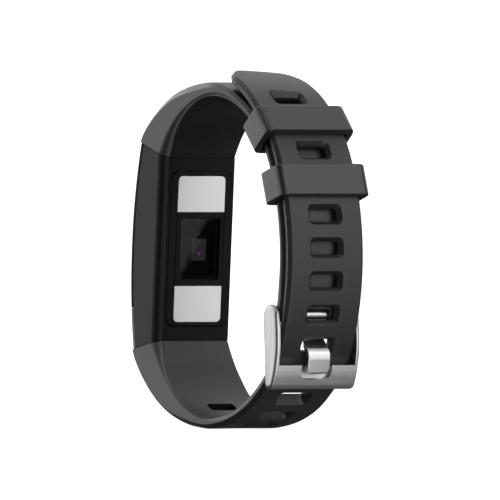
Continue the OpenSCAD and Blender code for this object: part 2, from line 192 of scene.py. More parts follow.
# ---------------------------------------------------------------- materials
def principled(name, colour, rough, metallic=0.0, **sockets):
    """A node material with a Principled shader, and that shader."""
    m = bpy.data.materials.new(name)
    m.use_nodes = True
    shader = m.node_tree.nodes["Principled BSDF"]
    shader.inputs["Base Color"].default_value = (*colour, 1)
    shader.inputs["Roughness"].default_value = rough
    shader.inputs["Metallic"].default_value = metallic
    for socket, value in sockets.items():
        shader.inputs[socket.replace("_", " ")].default_value = value
    return m, shader


def noise(m, scale, detail=3.0, stretch=(1, 1, 1)):
    """A noise texture in object space; scale is in waves per metre."""
    nodes, links = m.node_tree.nodes, m.node_tree.links
    coord = nodes.new("ShaderNodeTexCoord")
    mapping = nodes.new("ShaderNodeMapping")
    mapping.inputs["Scale"].default_value = stretch
    tex = nodes.new("ShaderNodeTexNoise")
    tex.inputs["Scale"].default_value = scale
    tex.inputs["Detail"].default_value = detail
    links.new(coord.outputs["Object"], mapping.inputs["Vector"])
    links.new(mapping.outputs["Vector"], tex.inputs["Vector"])
    return tex.outputs["Fac"]


def add_bump(m, shader, factor, strength, distance):
    """Relief from a factor; distance is its full height in metres."""
    bump = m.node_tree.nodes.new("ShaderNodeBump")
    bump.inputs["Strength"].default_value = strength
    bump.inputs["Distance"].default_value = distance
    m.node_tree.links.new(factor, bump.inputs["Height"])
    m.node_tree.links.new(bump.outputs["Normal"], shader.inputs["Normal"])


def add_range(m, factor, low, high, target):
    """Spreads a 0 to 1 factor over low to high and feeds it to a socket."""
    spread = m.node_tree.nodes.new("ShaderNodeMapRange")
    spread.inputs["To Min"].default_value = low
    spread.inputs["To Max"].default_value = high
    m.node_tree.links.new(factor, spread.inputs["Value"])
    m.node_tree.links.new(spread.outputs["Result"], target)


def add_colours(m, factor, stops, target):
    """Feeds a socket with a colour ramp; stops are (position, colour) pairs."""
    ramp = m.node_tree.nodes.new("ShaderNodeValToRGB")
    elements = ramp.color_ramp.elements
    while len(elements) < len(stops):
        elements.new(0.5)
    for element, (position, colour) in zip(elements, stops):
        element.position = position
        element.color = (*colour, 1)
    m.node_tree.links.new(factor, ramp.inputs["Fac"])
    m.node_tree.links.new(ramp.outputs["Color"], target)


def elastomer(name, grey, rough, sheen=0.5):
    """Moulded silicone: a soft sheen, a fine matte grain and faint broad mottling."""
    m, shader = principled(name, (grey, grey, grey * 1.03), rough, Specular_IOR_Level=sheen)
    broad = noise(m, 260, 2)
    add_colours(m, broad, [(0.3, [grey * 0.93] * 3), (0.7, [grey * 1.06] * 3)],
                shader.inputs["Base Color"])
    add_range(m, broad, rough - 0.03, rough + 0.04, shader.inputs["Roughness"])
    add_bump(m, shader, noise(m, 9000, 2), 0.12, 0.00002)
    return m


def moulded(name, grey, rough):
    """Injection-moulded plastic with a fine spark-eroded texture."""
    m, shader = principled(name, (grey, grey, grey * 1.04), rough, Specular_IOR_Level=0.16)
    add_range(m, noise(m, 400, 2), rough - 0.03, rough + 0.03, shader.inputs["Roughness"])
    add_bump(m, shader, noise(m, 14000, 1), 0.1, 0.00001)
    return m


def steel(name, grey, rough, brush=None, depth=0.000003):
    """Steel; brush stretches the grain along one axis for a drawn or satin finish."""
    m, shader = principled(name, (grey, grey * 0.995, grey * 0.985), rough, 1.0)
    grain = noise(m, 2500, 3, brush or (1, 1, 1))
    add_range(m, grain, rough * 0.8, rough * 1.2, shader.inputs["Roughness"])
    add_bump(m, shader, grain, 0.15 if brush else 0.03, depth)
    return m


def tint(m, colour):
    """Gives a finished material another base colour."""
    m.node_tree.nodes["Principled BSDF"].inputs["Base Color"].default_value = (*colour, 1)


def black_glass(name, sheen, alpha=1.0):
    """Polished black glass or lacquer; alpha below 1 lets what is behind show through."""
    m, shader = principled(name, (0.001, 0.001, 0.0015), 0.015,
                           Specular_IOR_Level=sheen, Alpha=alpha)
    add_range(m, noise(m, 300, 3), 0.01, 0.02, shader.inputs["Roughness"])
    return m


def lens_with_painted_reflection(name, centre, radius):
    """A clear-coated lens whose purple tint turns blue toward the lower rim; the bright and
    near-black bands up its height are painted reflection.
    """
    m, shader = principled(name, (0.2, 0.05, 0.3), 0.08)
    shader.inputs["Coat Weight"].default_value = 1.0
    coord = m.node_tree.nodes.new("ShaderNodeTexCoord")
    split = m.node_tree.nodes.new("ShaderNodeSeparateXYZ")
    m.node_tree.links.new(coord.outputs["Object"], split.inputs["Vector"])
    height = m.node_tree.nodes.new("ShaderNodeMapRange")
    height.inputs["From Min"].default_value = centre.z - radius
    height.inputs["From Max"].default_value = centre.z + radius
    m.node_tree.links.new(split.outputs["Z"], height.inputs["Value"])
    # The bright and near-black stops are painted reflection on the dome; the purple and blue are
    # the coat's tint.
    stops = [(0.0, (0.06, 0.08, 0.25)), (0.28, (0.15, 0.5, 1)), (0.42, (0.04, 0.02, 0.08)),
             (0.7, (0.95, 0.3, 1)), (1.0, (0.25, 0.08, 0.35))]
    add_colours(m, height.outputs["Result"], stops, shader.inputs["Base Color"])
    return m


STRAP = elastomer("strap_elastomer", 0.02, 0.42, 0.6)
KEEPER = elastomer("keeper_elastomer", 0.016, 0.34, 0.7)
CASE = moulded("case_plastic", 0.007, 0.4)
COVER = moulded("cover_plastic", 0.006, 0.4)
BEZEL = moulded("bezel_plastic", 0.006, 0.4)
GLASS = black_glass("front_glass", 0.04)
WINDOW = black_glass("sensor_window", 0.38, 0.3)
KEY = steel("touch_key", 0.08, 0.35, (1, 0.05, 1))
ELECTRODE = steel("electrode_steel", 0.95, 0.42, (1, 1, 0.04))
POLISHED = steel("polished_steel", 0.62, 0.24)
SATIN = steel("satin_steel", 0.64, 0.42, (0.05, 1, 1))
# The buckle arms' side faces get this darker copy of the satin steel. It is painted shade, so
# that they read dimmer than the crossbar under the same lamps.
ARM_PAINTED_SHADE = steel("arm_steel_painted_shade", 0.46, 0.34, (1, 0.6, 0.05))
DRAWN = steel("drawn_steel", 0.6, 0.25, (0.05, 1, 1))


# ---------------------------------------------------------------- mesh tools
def soften(points, reach, steps=4):
    """Rounds each corner of a closed outline. reach is how far each rounding runs."""
    out = []
    n = len(points)
    for i, p in enumerate(points):
        before, after = points[i - 1] - p, points[(i + 1) % n] - p
        r = min(reach[i], 0.48 * before.length, 0.48 * after.length)
        a, b = p + before.normalized() * r, p + after.normalized() * r
        for k in range(steps + 1):
            t = k / steps
            out.append(a * (1 - t) ** 2 + p * (2 * t * (1 - t)) + b * t**2)
    return out


def loft(rings, closed=False, caps=True):
    """The vertices and faces of a skin through rings of equal length."""
    n = len(rings[0])
    verts = [p for ring in rings for p in ring]
    count = len(rings)
    faces = []
    for i in range(count if closed else count - 1):
        a, b = i * n, (i + 1) % count * n
        faces += [(a + k, a + (k + 1) % n, b + (k + 1) % n, b + k) for k in range(n)]
    if caps and not closed:
        faces += [tuple(range(n - 1, -1, -1)), tuple(range((count - 1) * n, count * n))]
    return verts, faces


def new_object(name, verts, faces):
    """A mesh object with merged doubles and outward normals."""
    mesh = bpy.data.meshes.new(name)
    mesh.from_pydata([tuple(v) for v in verts], [], faces)
    bm = bmesh.new()
    bm.from_mesh(mesh)
    bmesh.ops.remove_doubles(bm, verts=bm.verts, dist=1e-7)
    bmesh.ops.recalc_face_normals(bm, faces=bm.faces)
    bm.to_mesh(mesh)
    bm.free()
    obj = bpy.data.objects.new(name, mesh)
    bpy.context.scene.collection.objects.link(obj)
    return obj


def bake(obj):
    """Applies the object's modifiers to its mesh."""
    bpy.context.view_layer.update()
    graph = bpy.context.evaluated_depsgraph_get()
    mesh = bpy.data.meshes.new_from_object(obj.evaluated_get(graph))
    obj.modifiers.clear()
    obj.data = mesh


def cut(obj, cutter):
    """Takes the cutter's shape out of the object, and deletes the cutter."""
    tool = obj.modifiers.new("cut", "BOOLEAN")
    tool.operation = "DIFFERENCE"
    tool.solver = "EXACT"
    tool.object = cutter
    bake(obj)
    bpy.data.objects.remove(cutter)


def round_edges(obj, width, segments, angle):
    """Bevels every edge sharper than angle."""
    tool = obj.modifiers.new("round", "BEVEL")
    tool.width = width * MM
    tool.segments = segments
    tool.limit_method = "ANGLE"
    tool.angle_limit = math.radians(angle)
    tool.harden_normals = False
    bake(obj)


def finish_piece(obj, body, nodes, material, sharp=32):
    """Smooth shading, the material, the body that it rides, and the nodes it replaces.
    Edges that turn by more than sharp degrees stay crisp."""
    obj.data.materials.clear()
    obj.data.materials.append(material)
    obj.data.shade_smooth()
    obj.data.set_sharp_from_angle(angle=math.radians(sharp))
    flat = obj.modifiers.new("normals", "WEIGHTED_NORMAL")
    flat.keep_sharp = True
    bake(obj)
    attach(obj, body)
    if nodes:
        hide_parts(*nodes)
    return obj


# A softened corner that runs this many radii along each side looks like a round one
ROUND_REACH = 1.15


def rect(w, h, radii, steps=6):
    """A rectangle outline with four rounded corners, from the upper right one round."""
    corners = [Vector((w / 2, h / 2)), Vector((-w / 2, h / 2)),
               Vector((-w / 2, -h / 2)), Vector((w / 2, -h / 2))]
    return soften(corners, [r * ROUND_REACH for r in radii], steps)


def plate_ring(w, h, radii, y, z=0.0):
    """A rounded rectangle that faces the wrist, at the height y, centred on z."""
    return [place(p.x, y, p.y + z) for p in rect(w, h, radii)]


def drawn_in(ring, ratio):
    """The ring scaled about its own middle."""
    middle = sum(ring, Vector((0, 0, 0))) / len(ring)
    return [middle + (p - middle) * ratio for p in ring]


# ---------------------------------------------------------------- straps
# The rounded shoulder between a side face and the inner face: how far down it and how far
# in from the side, as shares of the whole shoulder
SHOULDER = [(0.85, 0.9), (0.52, 0.62), (0.24, 0.2)]

# Profiles along each strap, by the distance from its own seam with the pod: the heights of
# the outer and the inner face, of the sides' lower edge, and the bevel down and across
upper_out = curve([(0, 5.7), (4, 5.25), (8, 4.45), (12, 3.5), (15.5, 2.5), (19, 1.65),
                   (22.5, 1.05), (26, 0.7), (33, 0)])
upper_in = curve([(0, -4.4), (8, -3.6), (16, -2.8), (26, -UPPER_T)])
upper_edge = curve([(0, -1.9), (20, -1.7), (32, -UPPER_T + 1)])
upper_bevel = curve([(0, 0.15), (5, 1), (10, 1.5), (20, 1.6), (26, 1.1), (33, 0.6)])
upper_bevel_x = curve([(0, 0.2), (8, 1.2), (20, 1.6), (33, 0.75)])
# The upper strap thins where the lower one lies over it
upper_relief = curve([(0, 0), (33, 0), (38, 0.4), (82, 0.4), (87, 0)])
lower_out = curve([(0, 7.6), (4, 7.35), (8, 6.95), (12, 6.2), (15.5, 5.2), (19, 4), (23, 2.8),
                   (28, 2.15), (45, STRAP_GAP + STRAP_T)])
lower_in = curve([(0, -2.5), (5, -1.6), (10, -0.9), (15, -0.4), (20, -0.1), (30, STRAP_GAP),
                  (45, STRAP_GAP)])
lower_edge = curve([(0, 0), (25, 0.3), (35, STRAP_GAP + 0.9)])
lower_bevel = curve([(0, 0.15), (8, 1.2), (16, 1.6), (28, 1.1), (45, 0.75)])
lower_bevel_x = curve([(0, 0.2), (10, 1.4), (18, 2.2), (30, 1.5), (45, 0.75)])
# The tail's outline: its tip, the radius of its two corners, and the radius of the broad arc
# that joins them
TIP_START_S = 28.9
TIP_ROUND = 6.5
TIP_CROWN = 14
TIP_TURN = math.asin((HALF_W - TIP_ROUND) / (TIP_CROWN - TIP_ROUND))
TIP_SIDE = TIP_CROWN - (TIP_CROWN - TIP_ROUND) * math.cos(TIP_TURN)
# How far the lower strap stands off its place on the loop at s, and how its tail twists
stray = curve([(29.9, 1.2), (33.6, 0.8), (37, 0.5), (41, 0.25), (44.5, 0), (101, 0),
               (110, -0.45), (124, -0.45), (131, 0)])
TWIST = 0.05
TWIST_END_S = 45
TWIST_RUN = 9
# The holes, counted both ways from the one at HOLE_ZERO_S
HOLE_W = 6.8
HOLE_LEN = 2.8
HOLE_PITCH = 6.8
HOLE_ZERO_S = 89.4
HOLES_EACH_WAY = 7
BEND_HOLE = 3
BEND_HOLE_CLOSING = 0.9
# The buckle's bar, inside the upper strap's rolled end
BAR_S = 90.3
BAR_DROP = 1.75
BAR = on_loop(BAR_S, -BAR_DROP)
BAR_ANGLE = angle_at(BAR_S)


def strap_ring(s, half, inner, edge, outer, bevel_x, bevel_n, lean, twist=0):
    """One cross-section of a strap, as points of the frame. Its outward direction is lean,
    in degrees from +Y; twist lifts its left edge."""
    thick = outer - inner
    depth = min(edge - inner, 0.45 * thick)
    drop = min(bevel_n, 0.4 * thick)
    tuck = 0.3 + 0.56 * max(0, depth - 0.9)
    side = [Vector((half - tuck, inner))]
    side += [Vector((half - tuck * i, inner + depth * (1 - d))) for d, i in SHOULDER]
    side += [Vector((half, inner + depth)), Vector((half, outer - drop)),
             Vector((half - bevel_x, outer))]
    reach = [0.5, 0.5, 0.6, 0.3, 0.08, 0.14, 0.16]
    outline = side + [Vector((-p.x, p.y)) for p in reversed(side)]
    flat = soften(outline, reach + reach[::-1])
    base, out = on_loop(s, 0), ray(lean)
    return [place(p.x, *(base + out * (p.y - twist * p.x))) for p in flat]


def blend(t):
    """Falls from 1 at t = 0 to 0 at t = 1, and stays there."""
    return max(0.0, 1 - t)


def with_soft_end(rings, at_start, amount=0.06):
    """Draws the end ring in a little, so that the seam reads as a fine line."""
    end, inner = (rings[0], rings[1]) if at_start else (rings[-1], rings[-2])
    size = max((a - b).length for a, b in zip(end, end[len(end) // 2:]))
    tight = drawn_in(end, 1 - 2 * amount * MM / size)
    near = [e.lerp(i, min(1, amount * MM / max((e - i).length, 1e-9)))
            for e, i in zip(end, inner)]
    return [tight, near] + rings[1:] if at_start else rings[:-1] + [near, tight]


def in_buckle(x, t, n):
    """A point beside the bar: t toward the tongue's tip, n outward."""
    return place(x, *(BAR + ray(BAR_ANGLE + 90) * t + ray(BAR_ANGLE) * n))


def build_upper_strap():
    """The strap that ends round the buckle's bar, with a slot there for the tongue."""
    boss = BAR_DROP - 0.02

    def ring(s):
        d = s - BAR_S
        inner, outer, edge = upper_in(s), upper_out(s) - upper_relief(s), upper_edge(s)
        if abs(d) < boss:
            swell = math.sqrt(boss**2 - d**2)
            inner = min(inner, -BAR_DROP - swell) if d < 0 else -BAR_DROP - swell
            outer = outer if d < 0 else -BAR_DROP + swell
            edge = inner + 0.5
        lean = angle_at(s) + (SEAM_LEAN - ARC_FROM[0]) * blend(s / SEAM_BLEND)
        return strap_ring(s, HALF_W, inner, edge, outer, upper_bevel_x(s), upper_bevel(s), lean)

    stations = [BAR_S * i / 130 for i in range(128)]
    stations += [BAR_S + boss * math.sin(math.radians(a)) for a in range(-84, 85, 7)]
    rings = with_soft_end([ring(s) for s in stations], True)
    strap = new_object("strap_upper_soft", *loft(rings))
    half, back, front, deep = 2.95, -1.6, 3.2, 2.6
    slot = [[in_buckle(x, t, n)
             for t, n in ((back, -deep), (front, -deep), (front, deep), (back, deep))]
            for x in (-half, half)]
    cut(strap, new_object("slot", *loft(slot)))
    return finish_piece(strap, "band", ["strap_upper"], STRAP)


def hole_cutter(s, closing=0):
    """A through hole with a sloped and softly rolled rim on the outer face. Where the strap
    bends, the hole closes a little on its inner side."""
    top = lower_out(LOOP_LEN - s) + stray(s)
    inner = lower_in(LOOP_LEN - s) + stray(s)
    a = angle_at(s)
    base = on_loop(s, 0)
    # Each level: its height, how much larger the hole is there, and its corner radius
    levels = [(-4, 0, 0.75), (inner, 0, 0.75), (top - 1.1, 0, 0.75), (top - 1, 0.06, 0.75),
              (top - 0.2, 1.36, 0.95), (top - 0.09, 1.56, 1.05), (top - 0.01, 1.84, 1.15),
              (top + 0.02, 2.1, 1.25), (top + 1.5, 2.1, 1.25)]
    rings = []
    for n, larger, r in levels:
        shut = closing if n <= inner else 0
        flat = [Vector((p.x, p.y - shut * (p.y / HOLE_LEN + 0.5)))
                for p in rect(HOLE_W + larger, HOLE_LEN + larger, [r] * 4, 5)]
        rings.append([place(p.x, *(base + ray(a) * n + ray(a + 90) * p.y)) for p in flat])
    return loft(rings)


def tip_trim(d):
    """How far each side of the tail is cut in, d along from its tip: a broad arc
    across the end, tangent to the two round corners."""
    if d >= TIP_SIDE:
        return 0
    if d < TIP_CROWN * (1 - math.cos(TIP_TURN)):
        return HALF_W - math.sqrt(max(0, TIP_CROWN**2 - (TIP_CROWN - d) ** 2))
    return TIP_ROUND - math.sqrt(TIP_ROUND**2 - (TIP_SIDE - d) ** 2)


def build_lower_strap():
    """The strap with the holes, which ends in the tail."""
    def ring(s):
        u, d = LOOP_LEN - s, s - TIP_START_S
        trim = tip_trim(d)
        lean = angle_at(s) + (360 - SEAM_LEAN - ARC_TO[6]) * blend(u / SEAM_BLEND)
        off = stray(s)
        pinch = 0.12 * blend(d / 0.25)
        return strap_ring(s, HALF_W - trim, lower_in(u) + off + pinch, lower_edge(u) + off,
                          lower_out(u) + off - 3 * pinch, lower_bevel_x(u), lower_bevel(u), lean,
                          TWIST * blend(max(0, s - TWIST_END_S + TWIST_RUN) / TWIST_RUN))

    tip = [TIP_START_S + TIP_SIDE * (1 - math.cos(math.radians(a))) for a in range(6, 91, 4)]
    span = LOOP_LEN - tip[-1]
    body = [tip[-1] + span * i / 200 for i in range(1, 201)]
    rings = [ring(s) for s in [TIP_START_S + 0.01] + tip + body]
    strap = new_object("strap_lower_soft", *loft(with_soft_end(rings, False)))
    verts, faces = [], []
    for k in range(-HOLES_EACH_WAY, HOLES_EACH_WAY + 1):
        closing = BEND_HOLE_CLOSING if k == BEND_HOLE else 0
        v, f = hole_cutter(HOLE_ZERO_S + k * HOLE_PITCH, closing)
        faces += [tuple(i + len(verts) for i in face) for face in f]
        verts += v
    cut(strap, new_object("holes", verts, faces))
    return finish_piece(strap, "band", ["strap_lower"], STRAP)


# ---------------------------------------------------------------- keepers
# SLACK is under the straps, GAP over them and beside them
KEEPER_LEN = 6.9
KEEPER_WALL = 1.5
KEEPER_GAP = 0.15
KEEPER_SLACK = 0.45


def build_keeper(name, arc, mid_angle):
    """A soft loop with a rounded section, swept round the two straps."""
    low, high = -UPPER_T - KEEPER_SLACK, STRAP_GAP + STRAP_T + KEEPER_GAP
    wide, tall = 2 * (HALF_W + KEEPER_GAP), high - low
    middle = (low + high) / 2
    half = KEEPER_LEN / 2
    section = soften([Vector((-half, 0)), Vector((half, 0)), Vector((half, KEEPER_WALL)),
                      Vector((-half, KEEPER_WALL))], [0.15, 0.15, 0.42, 0.42], 5)
    rings = []
    for along, out in section:
        path = rect(wide + 2 * out, tall + 2 * out, [0.3 + 0.9 * out] * 4, 8)
        ring = []
        for p in path:
            r = RADIUS[arc] + middle + p.y
            ring.append(place(p.x, *(CENTRE[arc] + ray(mid_angle + math.degrees(along / r)) * r)))
        rings.append(ring)
    obj = new_object(name + "_soft", *loft(rings, closed=True))
    return finish_piece(obj, name, [name], KEEPER, 50)


# ---------------------------------------------------------------- pod
def front_at(z, radius):
    """How far out the display side's curve lies at the height z."""
    return FRONT_Y - FRONT_RADIUS + math.sqrt(radius**2 - z**2)


def pod_ring(t, section, reach):
    """A cross-section of the pod at a share t of its half height, set on slanted planes."""
    flat = soften(section(t * FRONT_EDGE_Z), reach)
    return [place(p.x, p.y, t * seam_z(p.y)) for p in flat]


def build_case():
    """The pod's shell, with a well for the platform on the wrist side."""
    tuck, depth = 1.2, EDGE_Y - REAR_Y

    def section(z):
        top = front_at(z, FRONT_RADIUS - GLASS_T) - 0.02
        side = [Vector((HALF_W - tuck, REAR_Y))]
        side += [Vector((HALF_W - tuck * i, REAR_Y + depth * (1 - d))) for d, i in SHOULDER]
        side += [Vector((HALF_W, EDGE_Y)), Vector((HALF_W, top))]
        return side + [Vector((-p.x, p.y)) for p in reversed(side)]

    reach = [0.5, 0.5, 0.6, 0.3, 0.1, 0.14]
    rings = [pod_ring(i / 40, section, reach + reach[::-1]) for i in range(-40, 41)]
    rings = with_soft_end(with_soft_end(rings, True), False)
    case = new_object("case_shell", *loft(rings))
    well = [plate_ring(15.6, 33.0, [1.7] * 4, y) for y in (1.5, 4.3)]
    cut(case, new_object("well", *loft(well)))
    return finish_piece(case, "band", ["case"], CASE)


def build_front(node, z0, z1, material):
    """A stretch of the curved front skin, with edges rolled over toward the sides."""
    half = HALF_W - 0.02

    def section(z):
        back = front_at(z, FRONT_RADIUS - GLASS_T)
        face = back + GLASS_T
        side = [Vector((half, back)), Vector((half, face - 0.6)),
                Vector((half - 0.2, face - 0.24)), Vector((half - 1.1, face))]
        return side + [Vector((-p.x, p.y)) for p in reversed(side)]

    reach = [0.05, 0.25, 0.3, 0.5]
    t0, t1 = z0 / FRONT_EDGE_Z, z1 / FRONT_EDGE_Z
    rings = [pod_ring(t0 + (t1 - t0) * i / 40, section, reach + reach[::-1]) for i in range(41)]
    rings = with_soft_end(with_soft_end(rings, True, 0.1), False, 0.1)
    skin = new_object(node + "_skin", *loft(rings))
    return finish_piece(skin, "band", [node], material)


ELECTRODE_W = 11.9
ELECTRODE_H = 7.7
WINDOW_W = 9.9
WINDOW_H = 13.0
PLATFORM_W = 15.4
PLATFORM_H = 32.8
ELECTRODE_Z = WINDOW_H / 2 + 1.3 + ELECTRODE_H / 2
FIELD_H = 2 * ELECTRODE_Z + ELECTRODE_H


def build_platform():
    """The back cover's raised rim, rolled on its outer edge and open in the middle."""
    w, h = PLATFORM_W, PLATFORM_H
    levels = [(w + 0.1, h + 0.1, 1.75, 3.6), (w + 0.1, h + 0.1, 1.75, REAR_Y - 0.02),
              (w + 0.02, h + 0.02, 1.7, 2.74), (w - 0.06, h - 0.06, 1.68, 2.65),
              (w - 0.24, h - 0.24, 1.6, SKIN_Y),
              (ELECTRODE_W + 0.3, FIELD_H + 0.3, 1.15, SKIN_Y),
              (ELECTRODE_W + 0.14, FIELD_H + 0.14, 1.07, 2.65),
              (ELECTRODE_W + 0.08, FIELD_H + 0.08, 1.04, 2.75),
              (ELECTRODE_W + 0.08, FIELD_H + 0.08, 1.04, 3.6)]
    rings = [plate_ring(a, b, [r] * 4, y) for a, b, r, y in levels]
    obj = new_object("platform_rim", *loft(rings, closed=True))
    return finish_piece(obj, "band", ["back_cover"], COVER)


def build_electrode(node, side):
    """A steel plate, round at its outer end and square where it meets the block."""
    round_end, square_end = 1.0, 0.12
    radii = [round_end] * 2 + [square_end] * 2
    if side < 0:
        radii = radii[2:] + radii[:2]
    levels = [(0, 3.1), (0, 2.68), (-0.05, 2.62), (-0.16, SKIN_Y)]
    rings = [plate_ring(ELECTRODE_W + d, ELECTRODE_H - 0.06 + d, radii, y, side * ELECTRODE_Z)
             for d, y in levels]
    obj = new_object(node + "_plate", *loft(rings))
    return finish_piece(obj, "band", [node], ELECTRODE)


def build_bezel():
    """The block between the electrodes, with a sloped rim down to the window."""
    w, h = ELECTRODE_W, 2 * ELECTRODE_Z - ELECTRODE_H
    levels = [(w - 0.02, h - 0.06, 0.15, 3.9), (w - 0.02, h - 0.06, 0.15, 2.68),
              (w - 0.06, h - 0.1, 0.15, 2.62), (w - 0.18, h - 0.22, 0.15, SKIN_Y)]
    # The inner side: how much larger than the window it is, and the height
    levels += [(WINDOW_W + d, WINDOW_H + d, 0.3, y)
               for d, y in ((0.3, SKIN_Y), (0.05, 2.7), (0.05, 3.2), (-1.6, 3.2), (-1.6, 3.9))]
    rings = [plate_ring(a, b, [r] * 4, y) for a, b, r, y in levels]
    obj = new_object("bezel_block", *loft(rings, closed=True))
    return finish_piece(obj, "band", ["sensor_bezel"], BEZEL)


def build_window():
    """The clear pane, and behind it a dark sheet of painted shade that stands in for the dark
    inside of the pod, far enough back to give the pane depth.
    """
    levels = [(0, 3.18), (0, 2.72), (-0.06, 2.67), (-0.16, 2.65)]
    rings = [plate_ring(WINDOW_W + d, WINDOW_H + d, [0.3] * 4, y) for d, y in levels]
    obj = new_object("window_pane", *loft(rings))
    finish_piece(obj, "band", ["sensor_window"], WINDOW)
    # This dark sheet is painted shade for the inside of the pod, not a part of the tracker.
    rings = [plate_ring(WINDOW_W - 1.7, WINDOW_H - 1.7, [0.3] * 4, y) for y in (3.56, 3.7)]
    backing = new_object("window_painted_shade", *loft(rings))
    finish_piece(backing, "band", [], moulded("painted_shade_sheet", 0.002, 0.8))


def build_lens():
    """The sensor's small domed lens, and two pale emitters above it."""
    low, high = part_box("sensor_lens")
    centre = (Vector(low) + Vector(high)) / 2
    radius = (high[0] - low[0]) / 2
    base_y = high[1]
    flatness = 0.5
    rings = []
    for a in range(0, 86, 8):
        r = radius * math.cos(math.radians(a))
        y = base_y - flatness * radius * math.sin(math.radians(a))
        rings.append([Vector((centre.x + r * math.cos(b), y, centre.z + r * math.sin(b)))
                      for b in (math.radians(k * 11.25) for k in range(32))])
    lens = new_object("sensor_dome", *loft(rings))
    finish_piece(lens, "band", ["sensor_lens"],
                 lens_with_painted_reflection("lens_coat_painted_reflection", centre, radius), 60)
    chip_low, chip_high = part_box("sensor_chip")
    pale, shader = principled("emitter", (0.55, 0.56, 0.6), 0.4)
    add_range(pale, noise(pale, 20000, 2), 0.3, 0.5, shader.inputs["Roughness"])
    half, rise = 0.11 * MM, 0.04 * MM
    for i, (x, z) in enumerate(((0.12, 0.5), (-0.05, 0.85))):
        at = Vector((centre.x + x * MM, chip_low[1], chip_high[2] - z * MM))
        rings = [[at + Vector((dx * half, dy, dz * half))
                  for dx, dz in ((1, 1), (-1, 1), (-1, -1), (1, -1))] for dy in (0, -rise)]
        finish_piece(new_object(f"emitter_{i}", *loft(rings)), "band", [], pale)


# ---------------------------------------------------------------- buckle
# Points in its side view are (Y, Z); FACE is the crossbar's outer face
ARM_INSIDE = HALF_W + 0.12
ARM_OUTSIDE = ARM_INSIDE + 1.1
CROSSBAR_TOP = -21.1
FACE_TOP = Vector((-43.5, CROSSBAR_TOP))
FACE_LOW = Vector((-42.42, -25.35))
FACE_MID = (FACE_TOP + FACE_LOW) / 2 + Vector((-0.2, -0.05))


def arm_outline():
    """The side view of the buckle: a round head over the bar, an arm that narrows down."""
    head, head_r = Vector((-40.5, -11.05)), 2.55
    foot, foot_r = Vector((-40.85, -25.05)), 1.25
    points = [head + ray(a) * head_r for a in range(2, 179, 8)]
    points += [Vector((-43.6, -14.5)), Vector((-43.85, -18)), FACE_TOP, FACE_MID, FACE_LOW,
               Vector((-42.05, -25.95))]
    points += [foot + ray(a) * foot_r for a in range(240, 355, 10)]
    points += [Vector((-39.3, -22.5)), Vector((-38.7, -17.3))]
    return soften(points, [1.2] * len(points), 3)


def across(outline, x0, x1):
    """A side-view outline as a prism from x0 to x1."""
    return loft([[place(x, p.x, p.y) for p in outline] for x in (x0, x1)])


def shrunk(outline, d):
    """An outline that runs counter-clockwise, moved inward by d."""
    last = len(outline) - 1
    moved = []
    for i, p in enumerate(outline):
        along = (outline[i + 1 if i < last else 0] - outline[i - 1]).normalized()
        moved.append(p + Vector((-along.y, along.x)) * d)
    return moved


# The arms' outer faces are crowned: how far down from the face, and how far in
CROWN = [(0.6, 0), (0.4, 0.1), (0.24, 0.3), (0.1, 0.62), (0.03, 0.88), (0, 1.15)]
NOTCH_W = 7.7
NOTCH_DEPTH = 3.1
NOTCH_ROUND = 1.7


def build_buckle():
    """The U-shaped frame: a solid block of the arms' outline, hollowed between the arms."""
    outline = arm_outline()
    ends = [(ARM_OUTSIDE - down, shrunk(outline, d)) for down, d in CROWN]
    rings = [[place(-x, p.x, p.y) for p in flat] for x, flat in reversed(ends)]
    rings += [[place(x, p.x, p.y) for p in flat] for x, flat in ends]
    obj = new_object("buckle_u", *loft(rings))
    gap = [Vector((-50, CROSSBAR_TOP)), Vector((-30, CROSSBAR_TOP)), Vector((-30, 0)),
           Vector((-50, 0))]
    cut(obj, new_object("gap", *across(gap, -ARM_INSIDE, ARM_INSIDE)))
    clear = RADIUS[4] + STRAP_GAP + STRAP_T + KEEPER_GAP
    strap_side = [CENTRE[4] + ray(a * 2.5) * clear for a in range(144)]
    cut(obj, new_object("clear", *across(strap_side, -ARM_INSIDE, ARM_INSIDE)))
    down = (FACE_LOW - FACE_TOP).normalized()
    out = Vector((down.y, -down.x))
    tall = 8
    notch = rect(NOTCH_W, tall, [0.1, 0.1, NOTCH_ROUND, NOTCH_ROUND], 8)
    rings = []
    for n, lean in ((-0.9, 0.33), (2, 0)):
        rings.append([])
        for p in notch:
            up = p.y + tall / 2
            at = FACE_TOP + down * (NOTCH_DEPTH - up) + out * (n - lean * up)
            rings[-1].append(place(p.x, *at))
    cut(obj, new_object("notch", *loft(rings)))
    round_edges(obj, 0.22, 3, 40)
    finish_piece(obj, "buckle_frame", ["buckle_frame"], SATIN, 40)
    # Faces that look along X, the arms' sides, take the darker steel copy: painted shade.
    obj.data.materials.append(ARM_PAINTED_SHADE)
    for face in obj.data.polygons:
        if abs(face.normal.x) > 0.5:
            face.material_index = 1


TONGUE_W = 5.6
TONGUE_T = 0.95
TONGUE_BEND = 1.3
TONGUE_ROUND = 1.3
EYE_R = 1.35
EYE_BORE = 0.82


